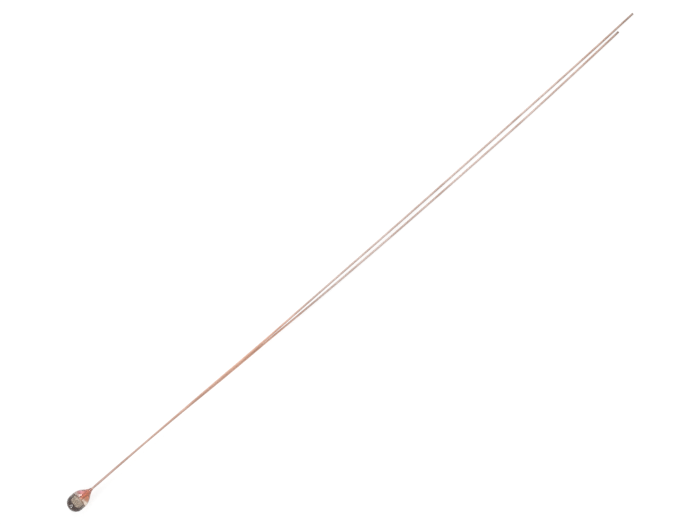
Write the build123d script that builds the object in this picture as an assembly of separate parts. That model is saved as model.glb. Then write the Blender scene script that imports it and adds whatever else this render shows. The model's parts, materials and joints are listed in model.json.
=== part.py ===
"""Glass bead thermistor: a sintered chip between two lead wires, sealed in a teardrop of clear glass.

The part lies as it comes to rest on a flat surface. Units are millimetres, +Z is up, and the origin is
the centre of the bead. +X runs along the bead's axis towards the free ends of the leads. The round belt
of the bead touches the surface. The two leads leave the tail one above the other, sink to the surface
and end side by side on it.
"""

import math
import os

from build123d import *

# Glass bead: a domed front, a round belt and a tail drawn down on to the leads
bead_diameter = 1.80
belt_length = 0.30
front_dome_length = 0.87
tail_length = 1.87
tail_fullness = 1.4
tail_sections = 11
neck_side_glass = 0.05
neck_top_glass = 0.03
saddle_margin = 0.01

# Sintered chip with a fired silver electrode on each broad face
front_glass = 0.37
chip_length = 0.95
chip_width = 1.08
chip_thickness = 0.55
electrode_length = 0.58
electrode_width = 1.00
electrode_thickness = 0.02
electrode_margin = 0.02
electrode_corner = 0.22

# Lead wires
lead_diameter = 0.20
lead_spacing = 0.34
lead_overlap = 0.47
lead_level_past_chip = 0.20
lead_straight_in_neck = 0.25
upper_lead_reach = 72.0
lower_lead_reach = 69.7
upper_touchdown = 54.0
lower_touchdown = 42.0
upper_bow = 0.32
lower_bow = 0.83

# Conductive paste that bonds each lead to its electrode
paste_under_lead = 0.02
paste_over_lead = 0.03
upper_paste_overhang = 0.20
lower_paste_overhang = 0.05
paste_side_margin = 0.01
paste_rounding = 0.18

# Places worked out from the sizes above
bead_radius = bead_diameter / 2
lead_radius = lead_diameter / 2
lying_z = -bead_radius + lead_radius
front_x = -belt_length / 2 - front_dome_length
belt_end_x = belt_length / 2
neck_x = belt_end_x + tail_length
neck_half_width = lead_radius + neck_side_glass
neck_half_height = lead_spacing / 2 + lead_radius + neck_top_glass
chip_front_x = front_x + front_glass
chip_rear_x = chip_front_x + chip_length
electrode_rear_x = chip_rear_x - electrode_margin
electrode_front_x = electrode_rear_x - electrode_length
electrode_face_z = chip_thickness / 2 + electrode_thickness
bonded_lead_z = electrode_face_z + paste_under_lead + lead_radius
paste_height = paste_under_lead + lead_diameter + paste_over_lead
paste_front_x = electrode_front_x + paste_side_margin
paste_width = electrode_width - 2 * paste_side_margin
paste_corner = electrode_corner - paste_side_margin

# The set of each lead, seen from above: how far along its reach each bend is, and how much of its
# sideways bow it has there. Both are shares, and the last bend is the cut end.
upper_set_shares = [
    (0.020, 0.10),
    (0.080, 0.13),
    (0.210, 0.45),
    (0.310, 0.91),
    (0.390, 0.86),
    (0.560, 1.03),
    (0.750, 0.79),
    (0.885, 0.54),
    (0.958, 0.31),
    (1.000, 0.10),
]
lower_set_shares = [
    (0.020, -0.02),
    (0.105, 0.07),
    (0.170, 0.20),
    (0.250, 0.45),
    (0.335, 0.60),
    (0.390, 0.74),
    (0.475, 0.90),
    (0.600, 1.01),
    (0.730, 1.00),
    (0.850, 0.95),
    (1.000, 0.55),
]
arc_share = 0.45


def across(x):
    """The plane square to the bead's axis at x, with its own x axis pointing up."""
    return Plane(origin=(x, 0, 0), x_dir=(0, 0, 1), z_dir=(1, 0, 0))


def tail_section(share):
    """The glass's oval at this share of the tail's length: the belt's circle at 0, the neck's oval at 1."""
    left = math.cos(math.pi / 2 * share**tail_fullness) ** 2
    half_width = neck_half_width + (bead_radius - neck_half_width) * left
    half_height = neck_half_height + (bead_radius - neck_half_height) * left
    return across(belt_end_x + tail_length * share) * Ellipse(half_height, half_width)


def bead_envelope():
    """The outer form of the glass, as one solid."""
    belt = Plane(origin=(-belt_end_x, 0, 0), z_dir=(1, 0, 0)) * Cylinder(
        bead_radius, belt_length, align=(Align.CENTER, Align.CENTER, Align.MIN)
    )
    quarter = EllipticalCenterArc(
        (-belt_end_x, 0), front_dome_length, bead_radius, start_angle=90, arc_size=90
    )
    outline = quarter + Polyline(quarter @ 1, (-belt_end_x, 0), quarter @ 0)
    dome = revolve(Plane.XZ * make_face(outline), Axis.X)
    tail = loft([tail_section(i / (tail_sections - 1)) for i in range(tail_sections)])
    return dome + belt + tail


def saddle():
    """The hollow that surface tension leaves in the glass between the two leads."""
    radius = lead_spacing / 2 - lead_radius - saddle_margin
    return Pos(neck_x, 0, 0) * Rot(90, 0, 0) * Cylinder(radius, 4 * neck_half_width)


def lead_points(side, reach, touchdown, bow, set_shares):
    """The corner points of a lead's route. side is 1 for the lead over the chip, -1 for the one under it."""
    start_x = chip_rear_x - lead_overlap
    exit_z = side * lead_spacing / 2
    points = [
        Vector(start_x, 0, side * bonded_lead_z),
        Vector(chip_rear_x + lead_level_past_chip, 0, side * bonded_lead_z),
        Vector(neck_x - lead_straight_in_neck, 0, exit_z),
    ]
    for along_share, bow_share in set_shares:
        along = reach * along_share
        fallen = min(along / touchdown, 1)
        height = (1 + math.cos(math.pi * fallen)) / 2
        points.append(Vector(neck_x + along, -bow * bow_share, lying_z + (exit_z - lying_z) * height))
    return points


def lead(name, points):
    """A round wire along its route, whose corners are rounded by arcs as large as the runs allow."""
    runs = [b - a for a, b in zip(points, points[1:])]
    radii = []
    for before, after in zip(runs, runs[1:]):
        half_turn = math.radians(before.get_angle(after)) / 2
        radii.append(arc_share * min(before.length, after.length) / math.tan(half_turn))
    path = FilletPolyline(*points, radius=radii)
    wire = sweep(Plane(origin=path @ 0, z_dir=path % 0) * Circle(lead_radius), path)
    expected = math.pi * lead_radius**2 * path.length
    print(name, "length", round(path.length, 3), "volume share", round(wire.volume / expected, 5))
    print(name, "arc radii", [round(r, 1) for r in radii])
    return wire


def block(front_x, rear_x, width, low_z, high_z):
    """A block centred on the bead's axis from side to side."""
    middle = Pos((front_x + rear_x) / 2, 0, (low_z + high_z) / 2)
    return middle * Box(rear_x - front_x, width, high_z - low_z)


def electrode(side):
    """The fired silver layer on one broad face of the chip, with round corners as it is printed."""
    faces = sorted((side * chip_thickness / 2, side * electrode_face_z))
    layer = block(electrode_front_x, electrode_rear_x, electrode_width, *faces)
    return fillet(layer.edges().filter_by(Axis.Z), electrode_corner)


def bond(side, overhang, wire):
    """The cushion of paste that holds a lead to its electrode and hangs over the chip's rear edge."""
    faces = sorted((side * electrode_face_z, side * (electrode_face_z + paste_height)))
    cushion = block(paste_front_x, chip_rear_x + overhang, paste_width, *faces)
    cushion = fillet(cushion.edges().filter_by(Axis.Z), paste_corner)
    outer_face = cushion.faces().sort_by(Axis.Z)[-1 if side > 0 else 0]
    return fillet(outer_face.edges(), paste_rounding) - wire


def build():
    """Every piece by its node's name."""
    upper_points = lead_points(1, upper_lead_reach, upper_touchdown, upper_bow, upper_set_shares)
    lower_points = lead_points(-1, lower_lead_reach, lower_touchdown, lower_bow, lower_set_shares)
    upper_lead = lead("upper lead", upper_points)
    lower_lead = lead("lower lead", lower_points)
    half_chip = chip_thickness / 2
    inside = {
        "thermistor_chip": block(chip_front_x, chip_rear_x, chip_width, -half_chip, half_chip),
        "upper_electrode": electrode(1),
        "lower_electrode": electrode(-1),
        "upper_bond": bond(1, upper_paste_overhang, upper_lead),
        "lower_bond": bond(-1, lower_paste_overhang, lower_lead),
        "upper_lead": upper_lead,
        "lower_lead": lower_lead,
    }
    glass = bead_envelope() - saddle() - list(inside.values())
    return {"glass_bead": glass, **inside}


os.makedirs("parts", exist_ok=True)
for name, shape in build().items():
    print(name, "solids", len(shape.solids()), "volume", round(shape.volume, 5))
    export_step(shape, f"parts/{name}.step")
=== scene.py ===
# %% [markdown]
# # A glass bead thermistor
# This object is a temperature sensor no bigger than a grain of rice on two long, thin wires. A small
# dark ceramic chip sits between two wires, silver paste bonds them to it, and a teardrop of molten
# glass is drawn round the lot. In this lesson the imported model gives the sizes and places, and we give
# each piece the surface that the real one has. The hard part is the glass: what the eye sees in the
# bead is mostly the chip and the leads, bent and enlarged by refraction, so they are all modelled.

# %% Load the model that everything is fitted to
import json
import math

import bmesh
import bpy
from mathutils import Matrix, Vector, noise


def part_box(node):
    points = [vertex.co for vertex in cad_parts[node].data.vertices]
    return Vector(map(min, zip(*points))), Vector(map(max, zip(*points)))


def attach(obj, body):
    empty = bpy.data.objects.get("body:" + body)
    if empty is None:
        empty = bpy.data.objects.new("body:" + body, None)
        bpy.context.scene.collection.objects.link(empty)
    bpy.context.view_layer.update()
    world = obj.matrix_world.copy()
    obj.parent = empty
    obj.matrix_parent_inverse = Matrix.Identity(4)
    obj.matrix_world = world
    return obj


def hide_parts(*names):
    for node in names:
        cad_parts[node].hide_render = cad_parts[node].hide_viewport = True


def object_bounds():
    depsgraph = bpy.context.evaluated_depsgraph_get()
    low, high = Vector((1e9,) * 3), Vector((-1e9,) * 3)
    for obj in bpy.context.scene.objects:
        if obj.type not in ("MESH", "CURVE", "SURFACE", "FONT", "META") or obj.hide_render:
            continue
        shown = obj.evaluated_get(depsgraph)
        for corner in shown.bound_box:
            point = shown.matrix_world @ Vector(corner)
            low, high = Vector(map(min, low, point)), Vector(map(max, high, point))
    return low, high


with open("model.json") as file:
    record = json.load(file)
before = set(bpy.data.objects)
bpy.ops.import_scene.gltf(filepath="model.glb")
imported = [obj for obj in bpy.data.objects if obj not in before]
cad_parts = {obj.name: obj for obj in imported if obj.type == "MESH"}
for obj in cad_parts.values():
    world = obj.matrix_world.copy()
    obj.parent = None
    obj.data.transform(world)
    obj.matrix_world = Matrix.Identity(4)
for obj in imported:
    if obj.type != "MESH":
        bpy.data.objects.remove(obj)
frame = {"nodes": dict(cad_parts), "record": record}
model_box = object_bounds()

MM = 0.001
mounts = {mount["name"]: mount for mount in frame["record"]["mounts"]}
print("nodes:", sorted(frame["nodes"]))
print("model box in mm:", [[round(c / MM, 2) for c in corner] for corner in model_box])

# %% [markdown]
# ## Camera
# The photograph looks straight down on the part with a long lens, and the part runs from the lower
# left to the upper right. Two points fix such a view: where the glass ends at the neck, and where the
# longer lead is cut. Knowing both in millimetres and in pixels, we can solve for the height, the
# centre and the turn of the camera. The neck is higher than the lead's end, and the sum allows for it.
# The view transform is Standard, so that a colour shows as it is written.

# %% Place the camera by two points of the photograph
IMAGE_SIZE = (700, 525)
NECK_PIXEL = (92.5, 489.3)
LEAD_END_PIXEL = (633.3, 13.8)
AXIS_ASIDE_PIXELS = 0.8  # how far to the upper left of the neck's pixel the bead's axis runs
LENS_MM = 200.0
SENSOR_MM = 36.0
NEAREST_SEEN = 1 * MM
FARTHEST_SEEN = 10.0

glass_low, glass_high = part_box("glass_bead")
upper_low, upper_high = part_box("upper_lead")
neck_x = glass_high.x
lead_end_x = upper_high.x
wire_radius = mounts["upper_lead_end"]["dims"]["r_mm"] * MM
lying_z = upper_low.z + wire_radius

pixels_per_unit = IMAGE_SIZE[0] * LENS_MM / SENSOR_MM
across = LEAD_END_PIXEL[0] - NECK_PIXEL[0]
up = NECK_PIXEL[1] - LEAD_END_PIXEL[1]
turn = math.atan2(up, across)
to_middle = Vector((IMAGE_SIZE[0] / 2 - NECK_PIXEL[0], NECK_PIXEL[1] - IMAGE_SIZE[1] / 2))
along = to_middle.x * math.cos(turn) + to_middle.y * math.sin(turn)
aside = to_middle.x * math.sin(turn) - to_middle.y * math.cos(turn) + AXIS_ASIDE_PIXELS
total = math.hypot(across, up)
height = (pixels_per_unit * (lead_end_x - neck_x) + (total - along) * lying_z) / total

camera_data = bpy.data.cameras.new("camera")
camera_data.lens = LENS_MM
camera_data.sensor_width = SENSOR_MM
camera_data.clip_start = NEAREST_SEEN
camera_data.clip_end = FARTHEST_SEEN
camera = bpy.data.objects.new("camera", camera_data)
camera.location = (neck_x + along * height / pixels_per_unit, -aside * height / pixels_per_unit, height)
camera.rotation_euler = (0, 0, -turn)
bpy.context.scene.collection.objects.link(camera)
bpy.context.scene.camera = camera
bpy.context.scene.view_settings.view_transform = "Standard"
print("camera height in mm:", round(height / MM, 1), "turn:", round(math.degrees(turn), 2))

# %% [markdown]
# ## Colours
# We pick colours as the hex values that a paint program shows. Those are sRGB, and Blender's shaders
# work in linear light, so one function turns the first into the second.

# %% One function for colour
def colour(hex_value):
    """A shader colour from an sRGB hex value such as c89070."""
    channels = [int(hex_value[i:i + 2], 16) / 255 for i in (0, 2, 4)]
    return tuple(c / 12.92 if c <= 0.04045 else ((c + 0.055) / 1.055) ** 2.4 for c in channels) + (1,)


print("mid grey in linear light:", round(colour("808080")[0], 3))

# %% [markdown]
# ## Nodes
# Every material here is a small tree of nodes. One function adds a node of any kind, sets its sockets
# and links them, and fills in the stops where the node is a colour ramp. A second one starts a
# material and hands back its shader.

# %% Helpers for node trees
def add(tree, kind, sockets=None, stops=(), **settings):
    """A new node. A socket's value is a number or colour to set, or another node's output to link.

    The stops are a colour ramp's: a position from 0 to 1 and a hex colour each.
    """
    node = tree.nodes.new(kind)
    for name, value in settings.items():
        setattr(node, name, value)
    for name, value in (sockets or {}).items():
        if isinstance(value, bpy.types.NodeSocket):
            tree.links.new(value, node.inputs[name])
        else:
            node.inputs[name].default_value = value
    if stops:
        marks = node.color_ramp.elements
        while len(marks) < len(stops):
            marks.new(0.5)  # anywhere, because the loop below moves it
        for mark, (position, hex_value) in zip(marks, stops):
            mark.position = position
            mark.color = colour(hex_value)
    return node


def new_material(name, **sockets):
    """A material with one Principled shader, and that shader's sockets set by name."""
    material = bpy.data.materials.new(name)
    material.use_nodes = True
    shader = material.node_tree.nodes["Principled BSDF"]
    for socket, value in sockets.items():
        shader.inputs[socket.replace("_", " ")].default_value = value
    print("material:", name)
    return material, material.node_tree, shader


# %% [markdown]
# ## Floor and background
# The picture's ground is plain white. Real white card under a lamp would need so much light that the
# part itself would bleach. So the card is a mid grey that catches the part's shadow, plus a little
# glow that only the camera, reflections and refractions can see. The glow lights nothing.

# %% White card
FLOOR_HALF_SIZE = 3.0
CARD_GLOW = 0.77
CARD_GREY = "8e8e8e"


def seen_directly(tree):
    """1 for rays from the camera, a reflection or a refraction, and 0 for the light on a surface."""
    path = add(tree, "ShaderNodeLightPath").outputs
    seen = path["Is Camera Ray"]
    for kind_of_ray in ("Is Glossy Ray", "Is Transmission Ray"):
        seen = add(tree, "ShaderNodeMath", {0: seen, 1: path[kind_of_ray]}, operation="MAXIMUM").outputs[0]
    return seen


card, tree, shader = new_material("white card", Roughness=0.95, Specular_IOR_Level=0.0)
shader.inputs["Base Color"].default_value = colour(CARD_GREY)
glow_strength = add(tree, "ShaderNodeMath", {0: seen_directly(tree), 1: CARD_GLOW}, operation="MULTIPLY")
glow = add(tree, "ShaderNodeEmission", {"Strength": glow_strength.outputs[0]})
both = add(tree, "ShaderNodeAddShader", {0: shader.outputs[0], 1: glow.outputs[0]})
tree.links.new(both.outputs[0], tree.nodes["Material Output"].inputs["Surface"])

shape = bmesh.new()
bmesh.ops.create_grid(shape, x_segments=1, y_segments=1, size=FLOOR_HALF_SIZE)
bmesh.ops.translate(shape, verts=shape.verts, vec=(0, 0, model_box[0].z))
floor_mesh = bpy.data.meshes.new("floor")
shape.to_mesh(floor_mesh)
shape.free()
floor_mesh.materials.append(card)
floor = bpy.data.objects.new("floor", floor_mesh)
bpy.context.scene.collection.objects.link(floor)
print("floor at z in mm:", round(model_box[0].z / MM, 3))

# %% [markdown]
# ## Light
# Small glossy things are lit by what they reflect. A large soft box stands beyond the upper edge of
# the picture, and its image is the bright window on the shoulder of the bead. Two more stand beyond
# the lower left, a bright low one and a dimmer one over it, and make the pale patch on the bead's
# front. An even white sky fills in the rest. Together they light a level white surface to a little
# over white.

# %% Soft boxes and sky
SKY = 0.66
BOX_DISTANCE = 600 * MM


def soft_box(name, azimuth, elevation, size_mm, radiance):
    """A rectangular lamp that faces the bead, by angles in degrees. Radiance 1 reflects as white."""
    lamp = bpy.data.lights.new(name, "AREA")
    lamp.shape = "RECTANGLE"
    lamp.size, lamp.size_y = size_mm[0] * MM, size_mm[1] * MM
    lamp.energy = radiance * math.pi * lamp.size * lamp.size_y
    turned, raised = math.radians(azimuth), math.radians(elevation)
    level = math.cos(raised)
    towards = Vector((level * math.cos(turned), level * math.sin(turned), math.sin(raised)))
    holder = bpy.data.objects.new(name, lamp)
    holder.location = towards * BOX_DISTANCE
    holder.rotation_euler = towards.to_track_quat("Z", "Y").to_euler()
    bpy.context.scene.collection.objects.link(holder)
    print(name, "at", [round(c, 2) for c in holder.location])


soft_box("shoulder_box", azimuth=54, elevation=41, size_mm=(210, 240), radiance=8.4)
soft_box("front_box_low", azimuth=172, elevation=7, size_mm=(330, 200), radiance=8)
soft_box("front_box_high", azimuth=172, elevation=34, size_mm=(330, 360), radiance=3.7)

world = bpy.data.worlds.new("white sky")
bpy.context.scene.world = world
world.use_nodes = True
tree = world.node_tree
sky_strength = add(tree, "ShaderNodeMapRange", {"Value": seen_directly(tree), "To Min": SKY, "To Max": 1.0})
tree.links.new(sky_strength.outputs[0], tree.nodes["Background"].inputs["Strength"])
tree.nodes["Background"].inputs["Color"].default_value = colour("ffffff")

# %% [markdown]
# ## Glass, flame sealed
# The bead is lead glass, which bends light a little more than window glass. It was melted by a flame,
# so its skin is brilliantly smooth with only slow, shallow ripples. Where the copper of the leads met
# the hot glass, its oxide dissolved and stained the tail. The stain is orange over the leads. It is
# pink on one flank, and the palest pink there is a painted reflection of the shoulder box over the
# stain. That flank has a mauve rim, which is painted shade. On the other flank the stain starts later
# and is browner, and its rim is painted paler as a painted highlight. A picture wrapped round the tail
# could show that, but colour ramps are easier to adjust. Five of them run along the axis, and the
# point's place across the axis says how much of each is used.

# %% Colours of the stain and of the painted reflection, shade and highlight on it, each at a share of its length from the chip's side to the neck's
ORANGE_STAIN = [
    (0.00, "ffffff"),
    (0.16, "fdf4ee"),
    (0.20, "f8dccc"),
    (0.26, "f8ae94"),
    (0.32, "fea080"),
    (0.42, "ff9a72"),
    (0.70, "ff9e7c"),
    (0.84, "f8aa94"),
    (1.00, "dcaca4"),
]
# stain on one flank; its pale pink stops are the stain with a painted reflection of the shoulder box over
# it
PINK_STAIN_AND_PAINTED_REFLECTION = [
    (0.00, "ffffff"),
    (0.07, "e8dcd6"),
    (0.12, "ac8e85"),
    (0.20, "a67e75"),
    (0.30, "8c4c48"),
    (0.37, "a6484e"),
    (0.44, "d8627a"),
    (0.51, "ffa0c6"),
    (0.68, "ffaab6"),
    (1.00, "dcaca4"),
]
# painted shade on the rim of the pink flank: its early stops are darker than the pink stain's, and from
# 0.44 on it follows the pink ramp
MAUVE_STAIN_AND_PAINTED_SHADE = [
    (0.00, "ffffff"),
    (0.05, "8e7a73"),
    (0.13, "8c746d"),
    (0.19, "9b776e"),
    (0.25, "a97268"),
    (0.31, "a15351"),
    (0.38, "b54f55"),
    (0.44, "d8627a"),
    (0.51, "ffa0c6"),
    (0.68, "ffaab6"),
    (1.00, "dcaca4"),
]
BROWN_STAIN = [
    (0.00, "ffffff"),
    (0.06, "ecdfd0"),
    (0.12, "a88e79"),
    (0.18, "ba9e84"),
    (0.24, "d2aa8c"),
    (0.31, "a0553a"),
    (0.38, "984628"),
    (0.47, "9c4c2a"),
    (0.57, "e08458"),
    (0.67, "ffb498"),
    (1.00, "dcaca4"),
]
# painted highlight on the rim of the brown flank: its stops from 0.12 to 0.32 are paler than the brown
# stain's
RIM_STAIN_AND_PAINTED_HIGHLIGHT = [
    (0.00, "ffffff"),
    (0.06, "dccab8"),
    (0.12, "c2aa96"),
    (0.19, "eed6ba"),
    (0.25, "ead2b6"),
    (0.32, "b67a5e"),
    (0.38, "985030"),
    (0.47, "9c4c2a"),
    (0.57, "e08458"),
    (0.67, "ffb498"),
    (1.00, "dcaca4"),
]
print("stops of the orange stain:", len(ORANGE_STAIN))

# %% Material of the bead
STAIN_START_MM = 0.30
STAIN_LENGTH_MM = 1.6
# where across the axis each stain and each painted rim begins to show, and where it shows in full
PINK_SIDE_MM = (0.05, 0.45)
PAINTED_SHADE_RIM_MM = (0.60, 0.76)
BROWN_SIDE_MM = (-0.10, -0.32)
PAINTED_HIGHLIGHT_RIM_MM = (-0.42, -0.56)
RIPPLE_LENGTH_MM = 0.55
RIPPLE_DEPTH_MM = 0.004
RIPPLE_STRENGTH = 0.3


def place_in_mm(tree):
    """The point's place on the object in millimetres, whole and as its X, Y and Z."""
    metres = {0: add(tree, "ShaderNodeTexCoord").outputs["Object"], "Scale": 1 / MM}
    point = add(tree, "ShaderNodeVectorMath", metres, operation="SCALE").outputs["Vector"]
    return point, add(tree, "ShaderNodeSeparateXYZ", {0: point}).outputs


glass, tree, shader = new_material(
    "lead glass, flame sealed", Roughness=0.0, IOR=1.56, Transmission_Weight=1.0,
)
point, place = place_in_mm(tree)
span = {"Value": place["X"], "From Min": STAIN_START_MM, "From Max": STAIN_START_MM + STAIN_LENGTH_MM}
stain = add(tree, "ShaderNodeMapRange", span).outputs[0]
tint = add(tree, "ShaderNodeValToRGB", {"Fac": stain}, ORANGE_STAIN).outputs["Color"]
flanks = [
    (PINK_STAIN_AND_PAINTED_REFLECTION, PINK_SIDE_MM),
    (MAUVE_STAIN_AND_PAINTED_SHADE, PAINTED_SHADE_RIM_MM),
    (BROWN_STAIN, BROWN_SIDE_MM),
    (RIM_STAIN_AND_PAINTED_HIGHLIGHT, PAINTED_HIGHLIGHT_RIM_MM),
]
for stops, (begin, full) in flanks:
    share = add(tree, "ShaderNodeMapRange", {"Value": place["Y"], "From Min": begin, "From Max": full})
    ramp = add(tree, "ShaderNodeValToRGB", {"Fac": stain}, stops)
    blend = {"Fac": share.outputs[0], "Color1": tint, "Color2": ramp.outputs["Color"]}
    tint = add(tree, "ShaderNodeMixRGB", blend).outputs[0]
tree.links.new(tint, shader.inputs["Base Color"])
ripple = add(tree, "ShaderNodeTexNoise", {"Vector": point, "Scale": 1 / RIPPLE_LENGTH_MM, "Detail": 1.0})
relief = {"Height": ripple.outputs["Fac"], "Strength": RIPPLE_STRENGTH, "Distance": RIPPLE_DEPTH_MM * MM}
tree.links.new(add(tree, "ShaderNodeBump", relief).outputs["Normal"], shader.inputs["Normal"])
print("glass stain runs from", STAIN_START_MM, "to", STAIN_START_MM + STAIN_LENGTH_MM, "mm along the axis")

# %% [markdown]
# ## The bead
# A drop that hangs from a wire is round across its axis, so a spun outline is the natural start. Its
# tail is oval because it closes on two leads, one above the other. We give each point of the outline
# a stretch factor, spin it, and then stretch each ring upwards by its factor. The outline is the one
# that the model has: half an ellipse, a straight belt, and a tail that follows a squared cosine. The
# flame has rounded its rim at the neck, where the glass just covers the leads.

# %% Outline of the bead
TAIL_FULLNESS = 1.4
LEAD_SPACING = 0.34 * MM
NECK_SIDE_GLASS = 0.05 * MM
NECK_TOP_GLASS = 0.03 * MM
RIM_ROUNDING = 0.025 * MM
DOME_STEPS = 40
TAIL_STEPS = 80
RIM_STEPS = 6
CAP_STEPS = 16

belt_end_x = mounts["bead"]["dims"]["length_mm"] * MM / 2
bead_radius = glass_high.z
dome_length = -belt_end_x - glass_low.x
tail_length = neck_x - belt_end_x
neck_half_width = wire_radius + NECK_SIDE_GLASS
neck_half_height = LEAD_SPACING / 2 + wire_radius + NECK_TOP_GLASS


def tail_sizes(share):
    """The half width and half height of the glass at this share of the tail's length."""
    left = math.cos(math.pi / 2 * share ** TAIL_FULLNESS) ** 2
    return [neck + (bead_radius - neck) * left for neck in (neck_half_width, neck_half_height)]


def bead_outline():
    """The outline from the front to the middle of the neck's end, as x, half width and half height."""
    points = []
    for i in range(DOME_STEPS + 1):
        angle = math.pi / 2 * i / DOME_STEPS
        size = bead_radius * math.sin(angle)
        points.append((-belt_end_x - dome_length * math.cos(angle), size, size))
    rim_start = 1 - RIM_ROUNDING / tail_length
    for i in range(TAIL_STEPS + 1):
        share = rim_start * i / TAIL_STEPS
        points.append((belt_end_x + tail_length * share, *tail_sizes(share)))
    rim_width, rim_height = tail_sizes(rim_start)
    for i in range(1, RIM_STEPS + 1):
        angle = math.pi / 2 * i / RIM_STEPS
        drawn_in = RIM_ROUNDING * (1 - math.cos(angle))
        x = neck_x - RIM_ROUNDING * (1 - math.sin(angle))
        points.append((x, rim_width - drawn_in, rim_height - drawn_in))
    flat_width, flat_height = points[-1][1:]
    for i in range(1, CAP_STEPS + 1):
        left = 1 - i / CAP_STEPS
        points.append((neck_x, flat_width * left, flat_height * left))
    return points


print("outline of the bead has", len(bead_outline()), "points")

# %% [markdown]
# ## Finishing a piece
# Each piece ends the same way. Its doubles are merged, its normals are turned outwards, and it
# becomes an object that sits unturned at the origin with its place in its mesh. It then gets its
# material, rides on the model's one body and stands in for its node.

# %% Turn a bmesh into a finished piece
MERGE_DISTANCE = 1e-5 * MM


def make_piece(shape, name, material, node):
    """A smooth-shaded object from a bmesh, in place of one node of the model."""
    bmesh.ops.remove_doubles(shape, verts=shape.verts, dist=MERGE_DISTANCE)
    bmesh.ops.recalc_face_normals(shape, faces=shape.faces)
    mesh = bpy.data.meshes.new(name)
    shape.to_mesh(mesh)
    shape.free()
    mesh.shade_smooth()
    mesh.materials.append(material)
    piece = bpy.data.objects.new(name, mesh)
    bpy.context.scene.collection.objects.link(piece)
    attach(piece, "root")
    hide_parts(node)
    print(name, "has", len(mesh.polygons), "faces")
    return piece


# %% [markdown]
# ## Spinning the bead
# The outline goes once round the axis. Between the leads, surface tension has drawn the glass back
# from the neck's end, and pushing the points there inwards by a circle leaves that small saddle.

# %% Spin the bead
SPIN_STEPS = 128
SADDLE_MARGIN = 0.01 * MM
saddle_radius = LEAD_SPACING / 2 - wire_radius - SADDLE_MARGIN

shape = bmesh.new()
stretch = shape.verts.layers.float.new("stretch")
outline = []
for x, half_width, half_height in bead_outline():
    vert = shape.verts.new((x, half_width, 0))
    vert[stretch] = half_height / half_width if half_width > 0 else 1
    outline.append(vert)
edges = [shape.edges.new(pair) for pair in zip(outline, outline[1:])]
bmesh.ops.spin(
    shape, geom=outline + edges, cent=(0, 0, 0), axis=(1, 0, 0), angle=2 * math.pi,
    steps=SPIN_STEPS, use_merge=True,
)
for vert in shape.verts:
    vert.co.z *= vert[stretch]
    if abs(vert.co.z) < saddle_radius:
        vert.co.x = min(vert.co.x, neck_x - math.sqrt(saddle_radius ** 2 - vert.co.z ** 2))
make_piece(shape, "flame_sealed_bead", glass, "glass_bead")

# %% [markdown]
# ## Sintered ceramic
# The chip is pressed from metal oxide powders, fired, and sawn to size. The saw leaves a dull, dark
# brown surface with a fine grain, which noise gives at once. The grains are about ten micrometres, too
# fine for this picture, so they are drawn about four times as coarse. Over the chip's rear half the
# noise climbs to paler stops: painted light for the shade that the stained tail casts there.

# %% Material of the chip
GRAIN_MM = 0.04
GRAIN_DEPTH_MM = 0.005
GRAIN_STRENGTH = 0.4
CERAMIC_GRAIN = [(0.35, "341b11"), (0.62, "422519"), (0.85, "6c5d54"), (1.00, "8a7b71")]
CHIP_PAINTED_LIGHT_START_MM = -0.35
CHIP_PAINTED_LIGHT_FULL_MM = 0.26
CHIP_PAINTED_LIGHT = 0.48  # how far the painted light at the rear climbs the stops

ceramic, tree, shader = new_material("sintered oxide ceramic, sawn", Roughness=0.55, Specular_IOR_Level=0.1)
point, place = place_in_mm(tree)
grain = add(tree, "ShaderNodeTexNoise", {"Vector": point, "Scale": 1 / GRAIN_MM, "Detail": 3.0})
chip_painted_light = {"Value": place["X"], "From Min": CHIP_PAINTED_LIGHT_START_MM, "From Max": CHIP_PAINTED_LIGHT_FULL_MM, "To Max": CHIP_PAINTED_LIGHT}
chip_painted_light = add(tree, "ShaderNodeMapRange", chip_painted_light, interpolation_type="SMOOTHSTEP").outputs[0]
grain_and_painted_light = add(tree, "ShaderNodeMath", {0: grain.outputs["Fac"], 1: chip_painted_light}).outputs[0]
brown = add(tree, "ShaderNodeValToRGB", {"Fac": grain_and_painted_light}, CERAMIC_GRAIN)
tree.links.new(brown.outputs["Color"], shader.inputs["Base Color"])
relief = {"Height": grain.outputs["Fac"], "Strength": GRAIN_STRENGTH, "Distance": GRAIN_DEPTH_MM * MM}
tree.links.new(add(tree, "ShaderNodeBump", relief).outputs["Normal"], shader.inputs["Normal"])
print("ceramic grain drawn at", GRAIN_MM, "mm")

# %% [markdown]
# ## The chip
# A sawn chip is a plain block whose edges crumble a little. A cube brought to the node's box, with a
# small bevel, gives that.

# %% Saw the chip
EDGE_WEAR = 0.014 * MM
WEAR_SEGMENTS = 2

chip_low, chip_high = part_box("thermistor_chip")
shape = bmesh.new()
bmesh.ops.create_cube(shape, size=1)
bmesh.ops.scale(shape, verts=shape.verts, vec=chip_high - chip_low)
bmesh.ops.translate(shape, verts=shape.verts, vec=(chip_low + chip_high) / 2)
bmesh.ops.bevel(
    shape, geom=list(shape.edges), offset=EDGE_WEAR, segments=WEAR_SEGMENTS,
    profile=0.5, affect="EDGES", material=-1,
)
make_piece(shape, "sawn_chip", ceramic, "thermistor_chip")

# %% [markdown]
# ## Fired silver and silver paste
# Silver ink is printed on both broad faces of the chip and fired. It is not mirror bright but a dull
# warm white. The paste that holds the leads is silver flake in a binder. Fired inside the glass it
# turns a mottled beige grey, which is the pale field that shows in the middle of the bead. Both are
# soft patches of one noise with the flakes of a finer one over them, so one function makes both. Real
# flakes are a few micrometres, too fine to show, so they are drawn about ten times as coarse.
# The paste is painted paler towards its rear: painted light that makes up for the shade the stained tail
# casts on it.

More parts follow.
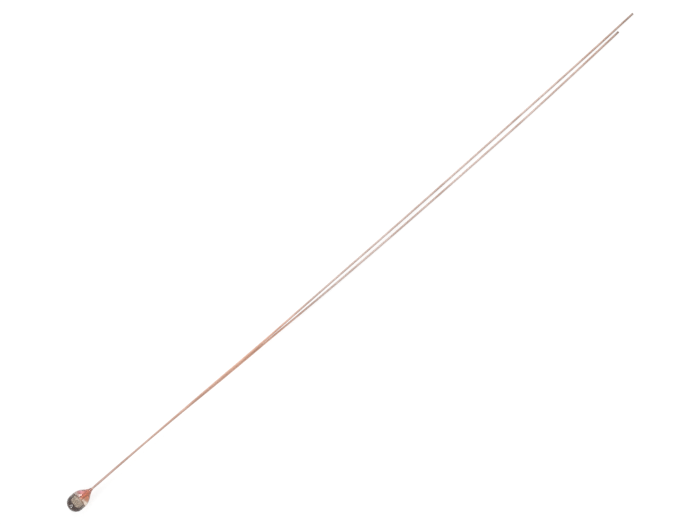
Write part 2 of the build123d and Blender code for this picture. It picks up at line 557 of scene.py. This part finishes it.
# %% Materials of the electrodes and the paste
INK_PATCH_MM = 0.20
INK_FLAKE_MM = 0.05
INK_COLOURS = [(0.35, "93837a"), (0.65, "a4958c")]
PASTE_PATCH_MM = 0.30
PASTE_FLAKE_MM = 0.06
PASTE_COLOURS = [(0.36, "988670"), (0.50, "a6937e"), (0.64, "b5a493"), (0.92, "cfc6b4")]
# painted light: from here to there the paste's rear is painted paler
PAINTED_LIGHT_START_MM = 0.08
PAINTED_LIGHT_FULL_MM = 0.40
PASTE_PAINTED_LIGHT = 0.36  # how far the paste's rear climbs the stops
FLAKE_SHARE = 0.3
FLAKE_THICKNESS = 0.1  # as a share of a flake's width
FLAKE_STRENGTH = 0.5


def mottled(name, patch_mm, flake_mm, painted_light, stops, **sockets):
    """A matte material in soft patches and fine flakes. The fourth argument is painted light: how far its
    rear climbs the stops.
    """
    material, tree, shader = new_material(name, **sockets)
    point, place = place_in_mm(tree)
    patches = add(tree, "ShaderNodeTexNoise", {"Vector": point, "Scale": 1 / patch_mm, "Detail": 2.0})
    flakes = add(tree, "ShaderNodeTexNoise", {"Vector": point, "Scale": 1 / flake_mm, "Detail": 2.0})
    blend = {"Factor": FLAKE_SHARE, "A": patches.outputs["Fac"], "B": flakes.outputs["Fac"]}
    blend = add(tree, "ShaderNodeMix", blend).outputs[0]
    # painted light: the rear climbs to paler stops
    lit_rear = {"Value": place["X"], "From Min": PAINTED_LIGHT_START_MM, "From Max": PAINTED_LIGHT_FULL_MM, "To Max": painted_light}
    lit_rear = add(tree, "ShaderNodeMapRange", lit_rear, interpolation_type="SMOOTHSTEP").outputs[0]
    level = add(tree, "ShaderNodeMath", {0: blend, 1: lit_rear}).outputs[0]
    mottle = add(tree, "ShaderNodeValToRGB", {"Fac": level}, stops)
    tree.links.new(mottle.outputs["Color"], shader.inputs["Base Color"])
    flake_depth = flake_mm * FLAKE_THICKNESS * MM
    relief = {"Height": flakes.outputs["Fac"], "Strength": FLAKE_STRENGTH, "Distance": flake_depth}
    tree.links.new(add(tree, "ShaderNodeBump", relief).outputs["Normal"], shader.inputs["Normal"])
    return material


ink = mottled("fired silver ink", INK_PATCH_MM, INK_FLAKE_MM, 0, INK_COLOURS, Roughness=0.5, Metallic=0.2)
paste = mottled(
    "silver paste, fired", PASTE_PATCH_MM, PASTE_FLAKE_MM, PASTE_PAINTED_LIGHT, PASTE_COLOURS,
    Roughness=0.5, Metallic=0.05,
)
for name in ("upper_electrode", "lower_electrode"):
    node = frame["nodes"][name]
    node.data.materials.clear()
    node.data.materials.append(ink)
    print(name, "gets", ink.name)

# %% [markdown]
# ## The paste mounds
# A dab of paste slumps over the end of the lead and dries as a low cushion: flat on top, round at its
# corners, with a faint ridge where the wire lies under it. A flat grid pushed up by a height formula
# is the simplest such shape, and a face across its underside closes it. The lower mound is the same
# grid turned over.

# %% Shape a mound of paste
MOUND_CUTS = 40
# how far the corners are drawn in, at the front and the rear
FRONT_ROUNDING = 0.32
REAR_ROUNDING = 0.10
# powers in the height formula: the higher, the steeper that edge
FRONT_STEEPNESS = 6
REAR_STEEPNESS = 12
SIDE_STEEPNESS = 8
SHOULDER = 0.80  # height beside the ridge, as a share of the height on it
RIDGE_HALF_WIDTH = 0.13 * MM
LUMP_DEPTH = 0.008 * MM
LUMP_LENGTH = 0.22 * MM


def paste_mound(low, high, side):
    """A cushion of paste in a node's box. side is 1 above the chip and -1 below it."""
    half = (high - low) / 2
    middle = (low + high) / 2
    face_z = low.z if side > 0 else high.z
    shape = bmesh.new()
    bmesh.ops.create_grid(shape, x_segments=MOUND_CUTS, y_segments=MOUND_CUTS, size=1)
    for vert in shape.verts:
        u, v = (math.sin(math.pi / 2 * c) for c in vert.co.xy)
        rounding = FRONT_ROUNDING if u < 0 else REAR_ROUNDING
        steepness = FRONT_STEEPNESS if u < 0 else REAR_STEEPNESS
        x = half.x * u * math.sqrt(1 - rounding * v * v)
        y = half.y * v * math.sqrt(1 - rounding * u * u)
        edge_fall = math.sqrt(max(0, (1 - abs(u) ** steepness) * (1 - abs(v) ** SIDE_STEEPNESS)))
        ridge = SHOULDER + (1 - SHOULDER) * math.exp(-((y / RIDGE_HALF_WIDTH) ** 2))
        # the noise runs from -1 to 1, and less 1 it only ever sinks the surface
        lump = LUMP_DEPTH * (noise.noise(Vector((x, y, side * LUMP_LENGTH)) / LUMP_LENGTH) - 1)
        rise = edge_fall * (2 * half.z * ridge + lump)
        vert.co = (middle.x + x, middle.y + y, face_z + side * rise)
    bmesh.ops.contextual_create(shape, geom=[edge for edge in shape.edges if edge.is_boundary])
    return shape


for side, node in ((1, "upper_bond"), (-1, "lower_bond")):
    shape = paste_mound(*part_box(node), side)
    make_piece(shape, node.replace("bond", "paste_mound"), paste, node)

# %% [markdown]
# ## Copper-clad wire
# The leads are nickel-iron wire in a thin copper sleeve, because that alloy shrinks at the same rate
# as the glass. They were drawn through a die, which leaves faint lines along the wire. Inside the
# glass the copper is dull with oxide, and the stained glass over it gives it most of its orange.
# Outside it is bare, slightly tarnished copper. A ramp along X gives the colour, and a second value
# along X tells how bare the metal is. Real die lines are a few micrometres apart, too fine to show, so
# they are drawn about ten times as coarse. Noise that is drawn out along X gives them.

# %% Colours of the wire, with some painted light, each at a share of its length from the bead's centre to the cut end
WIRE_COLOURS = [
    (0.000, "fce6d8"),
    (0.023, "f8dccc"),
    (0.029, "bfa299"),
    (0.100, "c7a99d"),
    # painted light: the stops from 0.24 to 0.30 are lighter to cancel the shade where the two leads lie
    # close together
    (0.240, "d6b09f"),
    (0.300, "d9ae99"),
    (0.360, "d2aa99"),
    (0.420, "c7b3ac"),
    (0.860, "c8b3ab"),
    (0.920, "bea397"),
    (0.970, "b49c91"),
    (1.000, "ac9a92"),
]
TARNISH_COLOURS = [(0.35, "e6dcd6"), (0.60, "ffffff")]
print("wire colours:", len(WIRE_COLOURS), "stops over", round(lead_end_x / MM, 1), "mm")

# %% Material of the leads
TARNISH_MM = 2.5
OXIDE_END_MM = 1.7
BARE_START_MM = 2.1
# each socket's value on the oxidised wire, and on the bare one
BARENESS = {"Metallic": (0.1, 0.75), "Roughness": (0.55, 0.48)}
DIE_LINE_MM = 0.03
DIE_LINE_DEPTH_MM = 0.003
DIE_LINE_STRENGTH = 0.3
DIE_LINE_DRAW = (0.04, 1, 1)  # X counts for little, so the noise is long along the wire

sleeve, tree, shader = new_material("copper-clad wire, drawn")
point, place = place_in_mm(tree)
span = {"Value": place["X"], "From Min": 0.0, "From Max": lead_end_x / MM}
along_wire = add(tree, "ShaderNodeMapRange", span).outputs[0]
copper = add(tree, "ShaderNodeValToRGB", {"Fac": along_wire}, WIRE_COLOURS)
tarnish = add(tree, "ShaderNodeTexNoise", {"Vector": point, "Scale": 1 / TARNISH_MM, "Detail": 3.0})
tarnish = add(tree, "ShaderNodeValToRGB", {"Fac": tarnish.outputs["Fac"]}, TARNISH_COLOURS)
tinted = {0: copper.outputs["Color"], 1: tarnish.outputs["Color"]}
tinted = add(tree, "ShaderNodeVectorMath", tinted, operation="MULTIPLY").outputs[0]
tree.links.new(tinted, shader.inputs["Base Color"])

span = {"Value": place["X"], "From Min": OXIDE_END_MM, "From Max": BARE_START_MM}
for socket, (oxidised, bare) in BARENESS.items():
    bareness = add(tree, "ShaderNodeMapRange", {**span, "To Min": oxidised, "To Max": bare})
    tree.links.new(bareness.outputs[0], shader.inputs[socket])

drawn_out = add(tree, "ShaderNodeVectorMath", {0: point, 1: DIE_LINE_DRAW}, operation="MULTIPLY")
lines = {"Vector": drawn_out.outputs[0], "Scale": 1 / DIE_LINE_MM, "Detail": 2.0}
lines = add(tree, "ShaderNodeTexNoise", lines)
relief = {"Height": lines.outputs["Fac"], "Strength": DIE_LINE_STRENGTH, "Distance": DIE_LINE_DEPTH_MM * MM}
tree.links.new(add(tree, "ShaderNodeBump", relief).outputs["Normal"], shader.inputs["Normal"])
print("wire turns bare from", OXIDE_END_MM, "to", BARE_START_MM, "mm")

# %% [markdown]
# ## Sheared core
# Side cutters nipped the leads to length. The cut shows the grey nickel-iron core, dull and finely
# torn, inside a thin ring of copper. Fine noise serves for the tears, in colour and in relief.

# %% Material of the cut faces
TEAR_MM = 0.02
TEAR_DEPTH_MM = 0.005
TEAR_STRENGTH = 0.5
TEAR_COLOURS = [(0.35, "8f8b86"), (0.65, "b4afa8")]

core, tree, shader = new_material("nickel-iron core, sheared", Metallic=1.0, Roughness=0.5)
point, _ = place_in_mm(tree)
tear = add(tree, "ShaderNodeTexNoise", {"Vector": point, "Scale": 1 / TEAR_MM, "Detail": 3.0})
grey = add(tree, "ShaderNodeValToRGB", {"Fac": tear.outputs["Fac"]}, TEAR_COLOURS)
tree.links.new(grey.outputs["Color"], shader.inputs["Base Color"])
relief = {"Height": tear.outputs["Fac"], "Strength": TEAR_STRENGTH, "Distance": TEAR_DEPTH_MM * MM}
tree.links.new(add(tree, "ShaderNodeBump", relief).outputs["Normal"], shader.inputs["Normal"])
print("tears drawn at", TEAR_MM, "mm")

# %% [markdown]
# ## The routes of the leads
# The leads are stiff wire that keeps whatever bends it was given. They leave the neck one above the
# other, sink until they touch the card, and bow a little sideways, as the photograph shows from
# above. A smooth curve with a few control points does this. Each bend is given as a share
# of the lead's reach and a share of its bow, so that it is easy to see which way the wire wanders.

# %% Control points of the leads
STRAIGHT_IN_NECK = 0.25 * MM
UPPER_SET = {"reach": 72.0 * MM, "touchdown": 54.0 * MM, "bow": 0.32 * MM, "shares": [
    (0.020, 0.10), (0.080, 0.13), (0.210, 0.45), (0.310, 0.91), (0.390, 0.86),
    (0.560, 1.03), (0.750, 0.79), (0.885, 0.54), (0.958, 0.31), (1.000, 0.10),
]}
LOWER_SET = {"reach": 69.7 * MM, "touchdown": 42.0 * MM, "bow": 0.83 * MM, "shares": [
    (0.020, -0.02), (0.105, 0.07), (0.170, 0.20), (0.250, 0.45), (0.335, 0.60), (0.390, 0.74),
    (0.475, 0.90), (0.600, 1.01), (0.730, 1.00), (0.850, 0.95), (1.000, 0.55),
]}

lead_start_x = upper_low.x
bonded_z = upper_high.z - wire_radius
bond_rear_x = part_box("upper_bond")[1].x


def lead_route(side, reach, touchdown, bow, shares):
    """Control points from the bond to the cut end. side is 1 for the lead over the chip, -1 under it."""
    exit_z = side * LEAD_SPACING / 2
    points = [
        (lead_start_x, 0, side * bonded_z),
        (bond_rear_x, 0, side * bonded_z),
        (neck_x - STRAIGHT_IN_NECK, 0, exit_z),
        (neck_x, 0, exit_z),
    ]
    for along_share, bow_share in shares:
        gone = reach * along_share
        height_left = (1 + math.cos(math.pi * min(gone / touchdown, 1))) / 2
        points.append((neck_x + gone, -bow * bow_share, lying_z + (exit_z - lying_z) * height_left))
    return points


print("leads start at x in mm:", round(lead_start_x / MM, 3), "and height:", round(bonded_z / MM, 3))

# %% [markdown]
# ## Drawing the leads
# A curve of order three through those points, with a round bevel, is a smooth wire. Blender makes its
# mesh for us, and we take that into a bmesh so that its ends can be finished.

# %% Draw a wire along a route
ROUND_STEPS = 6
STEPS_PER_POINT = 24


def drawn_wire(points):
    """A bmesh wire along a smooth curve with these control points, closed by flat ends."""
    curve = bpy.data.curves.new("route", "CURVE")
    curve.dimensions = "3D"
    curve.bevel_depth = wire_radius
    curve.bevel_resolution = ROUND_STEPS
    curve.use_fill_caps = True
    spline = curve.splines.new("NURBS")
    spline.points.add(len(points) - 1)
    for control, place_in_m in zip(spline.points, points):
        control.co = (*place_in_m, 1)
    spline.order_u = 3
    spline.use_endpoint_u = True
    spline.resolution_u = STEPS_PER_POINT
    holder = bpy.data.objects.new("route", curve)
    mesh = bpy.data.meshes.new_from_object(holder)
    shape = bmesh.new()
    shape.from_mesh(mesh)
    bpy.data.objects.remove(holder)
    bpy.data.curves.remove(curve)
    bpy.data.meshes.remove(mesh)
    bmesh.ops.remove_doubles(shape, verts=shape.verts, dist=MERGE_DISTANCE)
    print("wire drawn in", len(shape.faces), "faces")
    return shape


# %% [markdown]
# ## Cutting the leads
# The cutters roll the sleeve a little over the cut, which a small bevel gives. Insetting each end face
# leaves a ring of copper round the core. Only the end faces have more than four corners, so they are
# easy to find.

# %% Finish the ends and make the leads
ROLLED_RIM = 0.012 * MM
RIM_SEGMENTS = 3
SLEEVE_THICKNESS = 0.016 * MM
SKIN_CORNERS = 4  # corners of every face on the wire's side


def end_faces(shape):
    """The faces at the wire's ends."""
    return [face for face in shape.faces if len(face.verts) > SKIN_CORNERS]


def finish_cut_ends(shape):
    """Rolls the rims of the two end faces and insets the core in each."""
    rims = [edge for face in end_faces(shape) for edge in face.edges]
    bmesh.ops.bevel(
        shape, geom=rims, offset=ROLLED_RIM, segments=RIM_SEGMENTS,
        profile=0.5, affect="EDGES", material=-1,
    )
    # a sharp edge keeps the flat cut from being shaded as if it were round
    for face in end_faces(shape):
        for edge in face.edges:
            edge.smooth = False
    bmesh.ops.inset_individual(shape, faces=end_faces(shape), thickness=SLEEVE_THICKNESS, depth=0)
    for face in end_faces(shape):
        face.material_index = 1


for side, lead_set, node in ((1, UPPER_SET, "upper_lead"), (-1, LOWER_SET, "lower_lead")):
    shape = drawn_wire(lead_route(side, **lead_set))
    finish_cut_ends(shape)
    lead = make_piece(shape, node.replace("lead", "drawn_lead"), sleeve, node)
    lead.data.materials.append(core)
